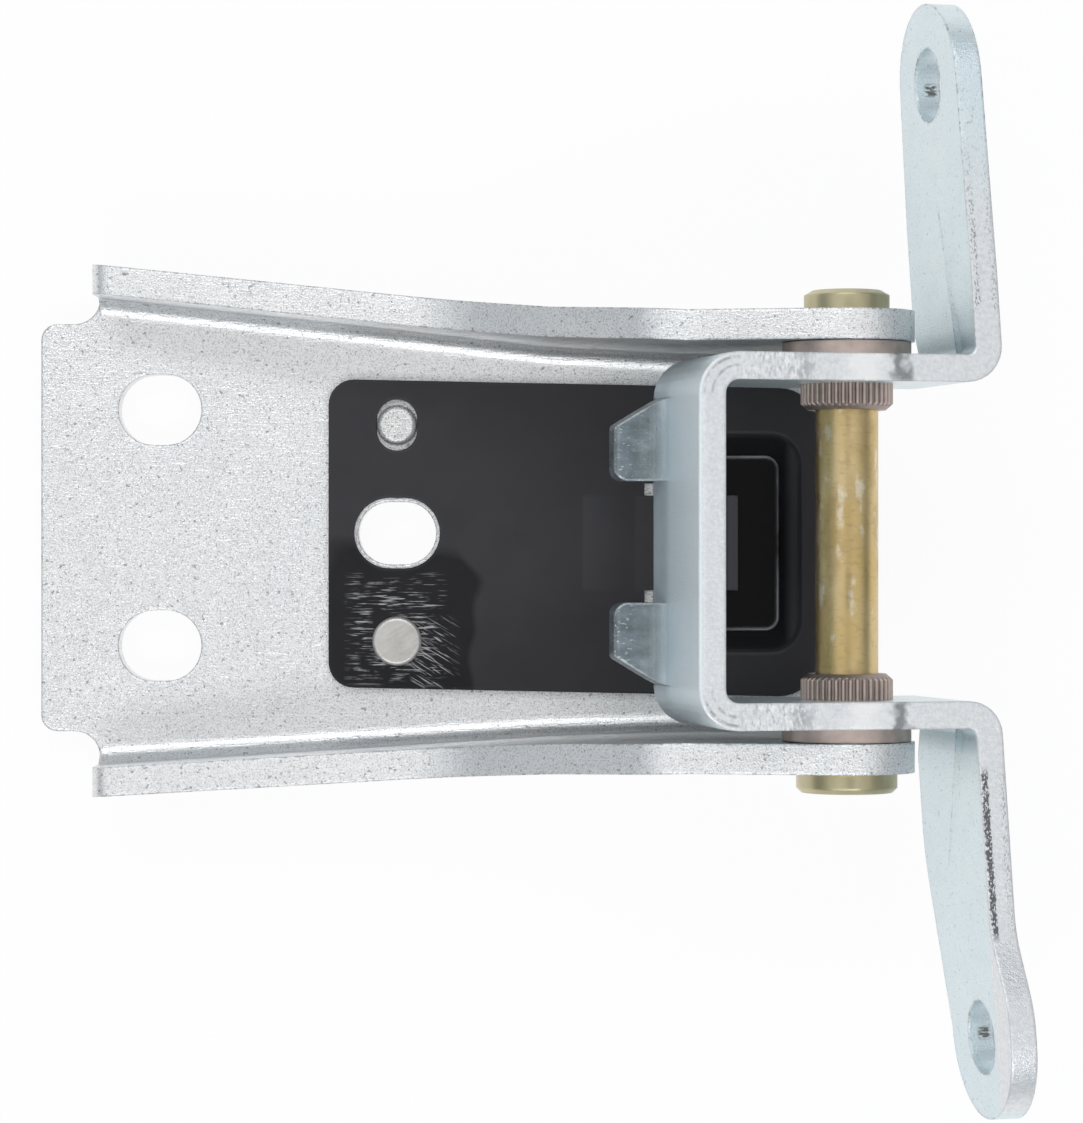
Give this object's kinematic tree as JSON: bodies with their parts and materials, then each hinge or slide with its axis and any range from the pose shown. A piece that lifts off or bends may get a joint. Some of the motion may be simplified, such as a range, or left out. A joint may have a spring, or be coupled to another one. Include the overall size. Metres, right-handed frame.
{
  "type": "car door hinge",
  "caption": "Folded steel car door hinge: a pillar bracket with slots, a hat-section door bracket on a riveted pin with flanged bushes, and a black stop plate that catches the bracket's claws.",
  "frame": {"origin": "middle of the two left bolt slots, on the pillar bracket's back face", "axes": "+X from the pillar bolts to the hinge pin, +Y along the hinge pin, +Z away from the pillar"},
  "size_m": [0.1501, 0.1648, 0.057],
  "materials": {
    "zinc_plate": "bright zinc plating, slightly mottled",
    "black_paint": "satin black coating, scratched near the rivet",
    "zinc_stake": "bright zinc plating, flattened by staking",
    "yellow_zinc": "yellow passivated zinc plating",
    "bronze_bush": "dull brown bearing metal",
    "blue_zinc_plate": "blue passivated zinc plating with burnished bends"
  },
  "bodies": {
    "pillar": {"body_bracket": "zinc_plate", "stop_plate": "black_paint", "locating_pin": "zinc_stake", "rivet": "zinc_stake", "hinge_pin": "yellow_zinc"},
    "door": {"door_bracket": "blue_zinc_plate", "upper_bush": "bronze_bush", "lower_bush": "bronze_bush"}
  },
  "joints": [
    {"name": "door_swing", "type": "hinge", "parent": "pillar", "child": "door", "pos_m": [0.1048, -0.0024, 0.039], "axis": [0, -1, 0], "range_deg": [-14, 64]}
  ]
}
